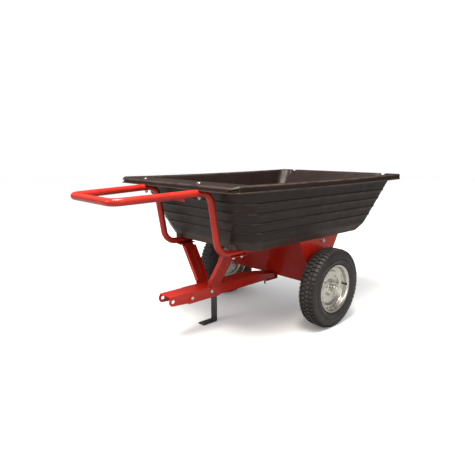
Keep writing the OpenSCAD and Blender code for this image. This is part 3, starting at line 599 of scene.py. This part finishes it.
def build_tub():
    """One closed skin from the floor's underside up, round the lip and down the inside."""
    rows = [tub_ring(*row) for row in BOTTOM]
    for middle in RIB_Z:
        bend = WALL_BEND + (middle - BAND_TOP) * 0.05
        rows += [tub_ring(middle + up, share * RIB_PROUD, bend) for up, share in RIB]
    rows += [tub_ring(*row) for row in FLARE]
    wall_top = [Vector((p.x, p.y, RIM_TOP - SKIN)) for p in tub_ring(RIM_TOP, 0.0, RIM_BEND)]
    under = rim_ring(-SKIN, RIM_TOP - SKIN)
    rows += [[a.lerp(b, t) for a, b in zip(wall_top, under)] for t in (0.45, 0.8)]
    rows += [rim_ring(grow, z) for grow, z in LIP]
    edge = rows[-1]
    inner = tub_ring(RIM_TOP, 1.0, RIM_BEND)
    rows += [[a.lerp(b, t) for a, b in zip(edge, inner)]
             for t in (0.12, 0.25, 0.40, 0.55, 0.70, 0.85)]
    rows.append(inner)
    rows += [tub_ring(z, -inset, max(16.0, 40.0 - (RIM_TOP - z) * 0.05)) for z, inset in INSIDE]
    shape = Shape()
    shape.rings([[shape_rim(p) for p in row] for row in rows],
                Matrix.Translation((AXLE_X, 0, 0)) @ Matrix.Scale(MM, 4))
    boss = rounded([(0, 400.5), (18.5, 400.5), (17.0, 428.0), (0, 428.0)], [0, 0, 3.0, 0],
                   closed=False)
    boss = [(max(p.x, 0.01), max(p.y, 405.0)) for p in boss]
    pad = [(0.01, 670.0), (11.4, 670.0), (11.4, 679.0), (10.6, 679.9), (0.01, 679.9)]
    for s in (-1, 1):
        for x, profile in ((FLOOR_BOLT_X, boss), (RIM_BOLT_X, pad)):
            at = Matrix.Translation((x, s * TUBE_Y, 0)) @ Matrix.Scale(MM, 4)
            shape.lathe(profile, 40, at, closed=False)
    return piece("tub_shell", shape.verts, shape.faces, PLASTIC, "tub", sharp=50.0)


def build_label():
    """Plain sticker on the tub's front wall, between the handle's arms."""
    low, high, half_w, middle, thick = 583.0, 597.0, 62.0, 104.0, 0.35
    outline = rounded([(-half_w, low), (half_w, low), (half_w, high), (-half_w, high)], 4.0)
    shape = Shape()
    shape.rings([[Vector((AXLE_X - (wall_distance(FRONT_WALL, p.y) + off) * MM,
                          (p.x * (1 - 0.002 * off) + middle) * MM, p.y * MM)) for p in outline]
                 for off in (0.1, thick * 0.8, thick)])
    mesh = bpy.data.meshes.new("label")
    mesh.from_pydata([tuple(v) for v in shape.verts], [], shape.faces)
    mesh.materials.append(LABEL)
    obj = bpy.data.objects.new("label_plain", mesh)
    bpy.context.scene.collection.objects.link(obj)
    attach(obj, BODY_OF["tub"])


# ---------- bent tubes ----------

TUBE_OUT, TUBE_IN, TUBE_SEGS = 0.014, 0.0124, 40
RIPPLE, RIPPLE_RATE = 0.35, 1.7                 # unevenness of the crimps along a bend
TUBE_Z = 0.390                                  # the level run under the tub
JOIN_X, JOIN_Z = AXLE_X - 0.640, 0.643          # where the handle meets the frame tubes
GRIP_X, GRIP_Y, GRIP_Z = AXLE_X - 0.955, 0.157, 0.633


def fillet_path(points, radii, step=0.006):
    """Even points along a 3-D path with rounded corners, and how deep each is in a bend."""
    path = [(Vector(points[0]), 0.0)]
    for i in range(1, len(points) - 1):
        p, a, b = Vector(points[i]), Vector(points[i - 1]), Vector(points[i + 1])
        da, db = (a - p).normalized(), (b - p).normalized()
        half = da.angle(db) / 2
        back = radii[i] / math.tan(half)
        centre = p + (da + db).normalized() * (radii[i] / math.sin(half))
        v0, v1 = p + da * back - centre, p + db * back - centre
        turn = v0.angle(v1)
        count = max(10, int(radii[i] * turn / step))
        for k in range(count + 1):
            t = k / count
            v = (v0 * math.sin((1 - t) * turn) + v1 * math.sin(t * turn)) / math.sin(turn)
            path.append((centre + v, math.sin(math.pi * t)))
    path.append((Vector(points[-1]), 0.0))
    full = [path[0]]
    for q in path[1:]:
        prev = full[-1]
        gap = (q[0] - prev[0]).length
        extra = int(gap / 0.03)
        for k in range(1, extra + 1):
            t = k / (extra + 1)
            full.append((prev[0].lerp(q[0], t), prev[1] * (1 - t) + q[1] * t))
        full.append(q)
    return full


def bent_tube(shape, points, radii, normal, crush):
    """Hollow tube along a path; crush flattens and ripples the inside of every bend."""
    path = fillet_path(points, radii)
    normal = Vector(normal).normalized()
    outer, inner = TUBE_OUT, TUBE_IN
    rings_out, rings_in = [], []
    total = len(path)
    inside = None
    for i, (p, depth) in enumerate(path):
        a, b = path[max(0, i - 1)][0], path[min(total - 1, i + 1)][0]
        tangent = (b - a).normalized()
        side = normal.cross(tangent).normalized()
        if inside is None or depth < 0.02:
            j = next((k for k in range(i, total) if path[k][1] > 0.5), None)
            if j is not None:
                q0, q1, q2 = path[j - 1][0], path[j][0], path[j + 1][0]
                inside = 1.0 if (q0 + q2 - 2 * q1).dot(normal.cross(q2 - q0)) > 0 else -1.0
        ripple = 1.0 + RIPPLE * math.sin(i * RIPPLE_RATE) if depth > 0.3 else 1.0
        ring, hole = [], []
        for k in range(TUBE_SEGS):
            ang = 2 * math.pi * k / TUBE_SEGS
            facing = math.cos(ang) * (inside or 1.0)
            dent = crush * depth * ripple * max(0.0, facing) ** 3
            r = outer - dent
            ring.append(p + side * (math.cos(ang) * r) + normal * (math.sin(ang) * outer))
            r = inner - dent
            hole.append(p + side * (math.cos(ang) * r) + normal * (math.sin(ang) * inner))
        rings_out.append(ring)
        rings_in.append(hole)
    eased = 1 - 0.3 * (outer - inner) / outer
    head = [path[0][0].lerp(q, eased) for q in rings_out[0]]
    tail = [path[-1][0].lerp(q, eased) for q in rings_out[-1]]
    shape.rings([head] + rings_out + [tail] + list(reversed(rings_in)), closed=True)


def build_frame_tube(side, node):
    y = side * TUBE_Y
    pts = [(JOIN_X, y, JOIN_Z), (AXLE_X - 0.5685, y, 0.6446), (AXLE_X - 0.5273, y, TUBE_Z),
           (AXLE_X + 0.052, y, TUBE_Z)]
    shape = Shape()
    bent_tube(shape, pts, [0, 0.050, 0.062, 0], (0, 1, 0), 0.0014)
    return piece(node + "_swept", shape.verts, shape.faces, PAINT, node, sharp=45.0)


def build_handle():
    pts = [(JOIN_X, TUBE_Y, JOIN_Z), (GRIP_X, GRIP_Y, GRIP_Z), (GRIP_X, -GRIP_Y, GRIP_Z),
           (JOIN_X, -TUBE_Y, JOIN_Z)]
    normal = (Vector(pts[0]) - Vector(pts[3])).cross(Vector(pts[1]) - Vector(pts[0]))
    shape = Shape()
    bent_tube(shape, pts, [0, 0.038, 0.038, 0], normal, 0.0052)
    sleeve = [(0.0106, -0.004), (0.0132, -0.004), (0.0122, 0.0005), (0.0122, 0.018),
              (0.0116, 0.020), (0.0106, 0.020)]
    for s in (-1, 1):
        axis = (1, 0, (JOIN_Z - GRIP_Z) / (JOIN_X - GRIP_X))
        shape.lathe(sleeve, TUBE_SEGS, along_axis((JOIN_X, s * TUBE_Y, JOIN_Z), axis))
    return piece("handle_swept", shape.verts, shape.faces, PAINT, "handle", sharp=45.0)


# ---------- wheels ----------

TREAD_R = AXLE_Z            # the tyre stands on the ground
BLOCKS = 56
BLOCK_LONG, BLOCK_WIDE = 0.0065, 0.0060     # half sizes of a tread block
BLOCK_FOOT, BLOCK_LEAST = 0.1700, 0.1680    # radius inside the tyre's wall, and the lowest


def wheel_place(side, out):
    """Placement at a wheel's centre with local +Z along the axle, towards out."""
    return along_axis((AXLE_X, side * WHEEL_Y, AXLE_Z), (0, out, 0))


def tyre_profile():
    """Closed outline of the tyre's wall as (radius, across), outside then inside."""
    pts = [(0.1012, -0.0265), (0.1035, -0.0310), (0.1085, -0.0325), (0.1115, -0.0322),
           (0.1135, -0.0345), (0.1175, -0.0388), (0.1225, -0.0412), (0.1290, -0.0426),
           (0.1345, -0.0429), (0.1356, -0.0424), (0.1362, -0.0408), (0.1376, -0.0402),
           (0.1392, -0.0405), (0.1400, -0.0418), (0.1412, -0.0424), (0.1460, -0.0420),
           (0.1530, -0.0408), (0.1562, -0.0402), (0.1570, -0.0396), (0.1578, -0.0400),
           (0.1588, -0.0402), (0.1620, -0.0394), (0.1668, -0.0374), (0.1712, -0.0340),
           (0.1738, -0.0300), (0.1752, -0.0240), (0.1762, -0.0100), (0.1764, 0.0)]
    out = pts + [(r, -w) for r, w in reversed(pts[:-1])]
    inner = [(0.1012, 0.0225), (0.1110, 0.0270), (0.1280, 0.0375), (0.1480, 0.0370),
             (0.1650, 0.0310), (0.1700, 0.0180), (0.1706, 0.0)]
    return out + inner + [(r, -w) for r, w in reversed(inner[:-1])]


def tread_height(w):
    w = abs(w)
    if w < 0.021:
        return TREAD_R - 0.0002 - 0.35 * w * w
    if w < 0.0345:
        t = (w - 0.021) / 0.0135
        return TREAD_R - 0.0004 - 0.0030 * t * t
    t = (w - 0.0345) / 0.0030
    return TREAD_R - 0.0034 - 0.0105 * t


def add_block(shape, outline, at, mirror, place):
    """One tread block: its outline is (around, across) in metres on the tread surface."""
    cx = sum(p[0] for p in outline) / len(outline)
    cw = sum(p[1] for p in outline) / len(outline)

    def ring(shrink, drop, base=None):
        out = []
        for a, w in outline:
            aa = cx + (a - cx) * (1 - shrink / BLOCK_LONG)
            ww = cw + (w - cw) * (1 - shrink / BLOCK_WIDE)
            r = max(base if base else tread_height(ww) - drop, BLOCK_LEAST)
            ang = at + mirror * aa / TREAD_R
            out.append((r * math.cos(ang), r * math.sin(ang), mirror * ww))
        return out

    shape.rings([ring(-0.0007, 0, BLOCK_FOOT), ring(-0.0002, 0.0030), ring(0.0, 0.0008),
                 ring(0.0007, 0.0)], place)


def add_shoulder_ribs(shape, pitch, place):
    """Short bars across the shoulder, one for each block, on both sides."""
    half_w, taper, lift = 0.0016, 0.6, 0.0011
    ends = [(0.1590, 0.0396), (0.1690, 0.0352)]
    box = [(0, 1, 2, 3), (7, 6, 5, 4), (0, 4, 5, 1), (1, 5, 6, 2), (2, 6, 7, 3), (3, 7, 4, 0)]
    for i in range(BLOCKS):
        for w in (-1, 1):
            turned = Matrix.Rotation((i + (0.5 if w > 0 else 0.0)) * pitch, 4, "Z")
            verts = []
            for r, z in ends:
                verts += [turned @ Vector((r, x, w * z)) for x in (-half_w, half_w)]
                verts += [turned @ Vector((r, x * taper, w * (z + lift)))
                          for x in (half_w, -half_w)]
            shape.add(verts, box, place)


def build_tyre(side, node):
    shape = Shape()
    place = wheel_place(side, side)
    shape.lathe(tyre_profile(), 180, place)
    pitch = 2 * math.pi / BLOCKS
    half = (pitch * TREAD_R - 0.0066) / 2
    rows = [[(-half, 0.0014), (half * 0.9, 0.0014), (half, 0.0050), (half, 0.0150),
             (half * 0.8, 0.0182), (-half, 0.0182), (-half * 1.12, 0.0095)],
            [(-half, 0.0222), (half, 0.0222), (half, 0.0345), (half * 0.8, 0.0375),
             (-half * 0.8, 0.0375), (-half, 0.0345)]]
    for i in range(BLOCKS):
        for outline in rows:
            add_block(shape, outline, i * pitch, 1, place)
            add_block(shape, outline, (i + 0.5) * pitch, -1, place)
    add_shoulder_ribs(shape, pitch, place)
    return piece(node + "_moulded", shape.verts, shape.faces, RUBBER, node, sharp=30.0)


def disc_profile():
    """Closed outline of one pressed half, (radius, height above the middle plane)."""
    face = [(0.0171, 0.0162), (0.0285, 0.0153), (0.0385, 0.0024), (0.0730, 0.0024),
            (0.0835, 0.0092), (0.0958, 0.0113), (0.0988, 0.0292), (0.1050, 0.0343),
            (0.1100, 0.0358)]
    back = [(0.1100, 0.0338), (0.1072, 0.0318), (0.1010, 0.0268), (0.1010, 0.0091),
            (0.0842, 0.0069), (0.0742, 0.0002), (0.0378, 0.0002), (0.0276, 0.0131),
            (0.0171, 0.0140)]
    radii = [0, 0.006, 0.004, 0.005, 0.005, 0.004, 0.004, 0.005, 0.0008]
    back_radii = [0.0008, 0.003, 0.004, 0.005, 0.005, 0.005, 0.005, 0.005, 0]
    return rounded(face + back, radii + back_radii, 5)


def build_disc(side, face, node):
    shape = Shape()
    shape.lathe([(p.x, p.y) for p in disc_profile()], 144, wheel_place(side, side * face))
    return piece(node + "_pressed", shape.verts, shape.faces, DISC_METAL, node, sharp=40.0)


def build_hub(side, node):
    shape = Shape()
    outline = rounded([(0.00806, -0.048), (0.0190, -0.048), (0.0190, -0.044), (0.0170, -0.043),
                       (0.0170, 0.031), (0.0190, 0.032), (0.0190, 0.036), (0.00806, 0.036)],
                      [0.0006, 0.0012, 0.0008, 0.001, 0.001, 0.0008, 0.0012, 0.0006], 4)
    shape.lathe([(p.x, p.y) for p in outline], 72, wheel_place(side, side))
    return piece(node + "_turned", shape.verts, shape.faces, ZINC, node, sharp=40.0)


# ---------- pressings and small parts from their CAD form ----------

# Width of the rounded edges in millimetres.
EASED = {
    "strut_left": 0.7, "strut_right": 0.7, "tongue": 0.8, "cradle_plate": 0.8,
    "cradle_side_left": 0.8, "cradle_side_right": 0.8, "stand": 1.0,
    "rim_spacers": 0.5, "rim_bolts": 0.5, "rim_nuts": 0.5, "floor_bolts": 0.5,
    "floor_nuts": 0.5, "floor_washers": 0.3, "tongue_bolts": 0.6, "tongue_nuts": 0.5,
    "cradle_bolts": 0.5, "cradle_nuts": 0.5, "cradle_washers": 0.3, "cross_rod": 0.8,
    "cross_rod_nuts": 0.5, "axle": 1.0, "axle_spacers": 0.6, "axle_washers": 0.4,
    "axle_caps": 0.8, "clamp_bolt": 0.6, "clamp_nut": 0.4, "stand_bolt": 0.5,
    "stand_nut": 0.4, "disc_bolts_left": 0.5, "disc_bolts_right": 0.5, "valve_left": 0.5,
    "valve_right": 0.5}
EDGE_ANGLE, FLAT_ANGLE = 32.0, 1.2     # degrees: an edge to round, and faces to join again
WIDE_FACE = 0.0026                     # faces narrower than this are shaded as edges


def softened(node, width):
    """The node's own form with flat faces joined again and its edges rounded."""
    mesh = frame["nodes"][node].data.copy()
    bm = bmesh.new()
    bm.from_mesh(mesh)
    bmesh.ops.remove_doubles(bm, verts=bm.verts, dist=2 * WELD)
    bmesh.ops.dissolve_limit(bm, angle_limit=math.radians(FLAT_ANGLE), verts=bm.verts,
                             edges=bm.edges)
    picked = [e for e in bm.edges if len(e.link_faces) == 2
              and e.calc_face_angle(0) > math.radians(EDGE_ANGLE)]
    if picked:
        bmesh.ops.bevel(bm, geom=picked, offset=width, segments=2, profile=0.5,
                        affect="EDGES", clamp_overlap=True)
    bm.to_mesh(mesh)
    bm.free()
    return settle(node + "_eased", mesh, FINISH[SLOT_OF[node]], node, EDGE_ANGLE, WIDE_FACE)


# ---------- build all ----------

build_tub()
build_label()
for S, WORD in ((-1, "left"), (1, "right")):
    build_frame_tube(S, "frame_tube_" + WORD)
    build_tyre(S, "tyre_" + WORD)
    build_disc(S, 1, "disc_outer_" + WORD)
    build_disc(S, -1, "disc_inner_" + WORD)
    build_hub(S, "hub_" + WORD)
build_handle()

for NODE, WIDTH in EASED.items():
    softened(NODE, WIDTH * MM)


# ---------- stage ----------

WHITE = (1.0, 1.0, 1.0, 1.0)
FLOOR_R = 12.0
FLOOR_TONE = 0.20                                        # as other surfaces see the floor
FLOOR_GAINS = (("Is Camera Ray", 0.74), ("Is Glossy Ray", 0.14))
CAMERA_AT = (AXLE_X - 1.60814, -1.43584, 0.80079)
CAMERA_YAW, CAMERA_PITCH = 0.81446, 0.200764
LENS, SENSOR = 32.743, 36.0
LAMPS = (("key_top", (-0.9, -0.5, 3.0), (0, 0, 0.4), 1.5, 190, (1.0, 0.945, 0.85)),
         ("fill_front", (-3.0, 0.9, 1.7), (-0.2, 0, 0.4), 1.2, 16, (1.0, 0.98, 0.95)),
         ("fill_side", (-0.5, -3.3, 0.9), (0.1, 0, 0.3), 1.2, 14, (1.0, 0.97, 0.93)))


def build_floor():
    """A pale floor that the camera sees brighter than the other surfaces do."""
    mesh = bpy.data.meshes.new("floor")
    r = FLOOR_R
    mesh.from_pydata([(-r, -r, 0), (r, -r, 0), (r, r, 0), (-r, r, 0)], [], [(0, 1, 2, 3)])
    mat = bpy.data.materials.new("studio_floor")
    mat.use_nodes = True
    nodes, links = mat.node_tree.nodes, mat.node_tree.links
    bsdf = nodes["Principled BSDF"]
    bsdf.inputs["Roughness"].default_value = 0.9
    bsdf.inputs["Specular IOR Level"].default_value = 0.0
    path = nodes.new("ShaderNodeLightPath")
    last = None
    for seen_by, gain in FLOOR_GAINS:
        step = nodes.new("ShaderNodeMath")
        step.operation = "MULTIPLY_ADD"
        step.inputs[1].default_value, step.inputs[2].default_value = gain, FLOOR_TONE
        links.new(path.outputs[seen_by], step.inputs[0])
        if last:
            links.new(last, step.inputs[2])
        last = step.outputs[0]
    links.new(last, bsdf.inputs["Base Color"])
    mesh.materials.append(mat)
    floor = bpy.data.objects.new("floor", mesh)
    floor.location.z = CAD_LOW.z - 0.0002
    bpy.context.scene.collection.objects.link(floor)


def build_world():
    """White all round, and for reflections darker towards the ground and the rear."""
    world = bpy.data.worlds.new("studio")
    world.use_nodes = True
    tree = world.node_tree
    nodes, links = tree.nodes, tree.links
    split = nodes.new("ShaderNodeSeparateXYZ")
    links.new(nodes.new("ShaderNodeTexCoord").outputs["Generated"], split.inputs[0])
    both = nodes.new("ShaderNodeMath")
    both.operation = "MULTIPLY"
    links.new(mapped(tree, split.outputs["Z"], -0.1, 0.95, 0.10, 0.70), both.inputs[0])
    links.new(mapped(tree, split.outputs["X"], -0.2, 0.6, 1.0, 0.45, "SMOOTHSTEP"),
              both.inputs[1])
    reflected = nodes["Background"]
    reflected.inputs["Color"].default_value = (1.0, 0.985, 0.96, 1)
    links.new(both.outputs[0], reflected.inputs["Strength"])
    plain = nodes.new("ShaderNodeBackground")
    plain.inputs["Color"].default_value = WHITE
    plain.inputs["Strength"].default_value = 1.04
    pick = nodes.new("ShaderNodeMixShader")
    links.new(nodes.new("ShaderNodeLightPath").outputs["Is Glossy Ray"], pick.inputs[0])
    links.new(plain.outputs[0], pick.inputs[1])
    links.new(reflected.outputs[0], pick.inputs[2])
    links.new(pick.outputs[0], nodes["World Output"].inputs["Surface"])
    bpy.context.scene.world = world


def build_lamp(name, at, aim, size, power, colour):
    data = bpy.data.lights.new(name, "AREA")
    data.shape = "RECTANGLE"
    data.size = data.size_y = size
    data.energy = power
    data.color = colour
    obj = bpy.data.objects.new(name, data)
    obj.location = at
    obj.rotation_euler = (Vector(aim) - Vector(at)).to_track_quat("-Z", "Y").to_euler()
    bpy.context.scene.collection.objects.link(obj)


def build_camera():
    data = bpy.data.cameras.new("camera")
    data.sensor_width = SENSOR
    data.lens = LENS
    data.clip_start, data.clip_end = 0.05, 60.0
    cam = bpy.data.objects.new("camera", data)
    cam.location = CAMERA_AT
    ahead = Vector((math.cos(CAMERA_YAW) * math.cos(CAMERA_PITCH),
                    math.sin(CAMERA_YAW) * math.cos(CAMERA_PITCH), -math.sin(CAMERA_PITCH)))
    cam.rotation_euler = ahead.to_track_quat("-Z", "Y").to_euler()
    bpy.context.scene.collection.objects.link(cam)
    bpy.context.scene.camera = cam


build_floor()
build_world()
for LAMP in LAMPS:
    build_lamp(*LAMP)
build_camera()
bpy.context.scene.view_settings.view_transform = "Standard"
bpy.context.scene.view_settings.look = "None"
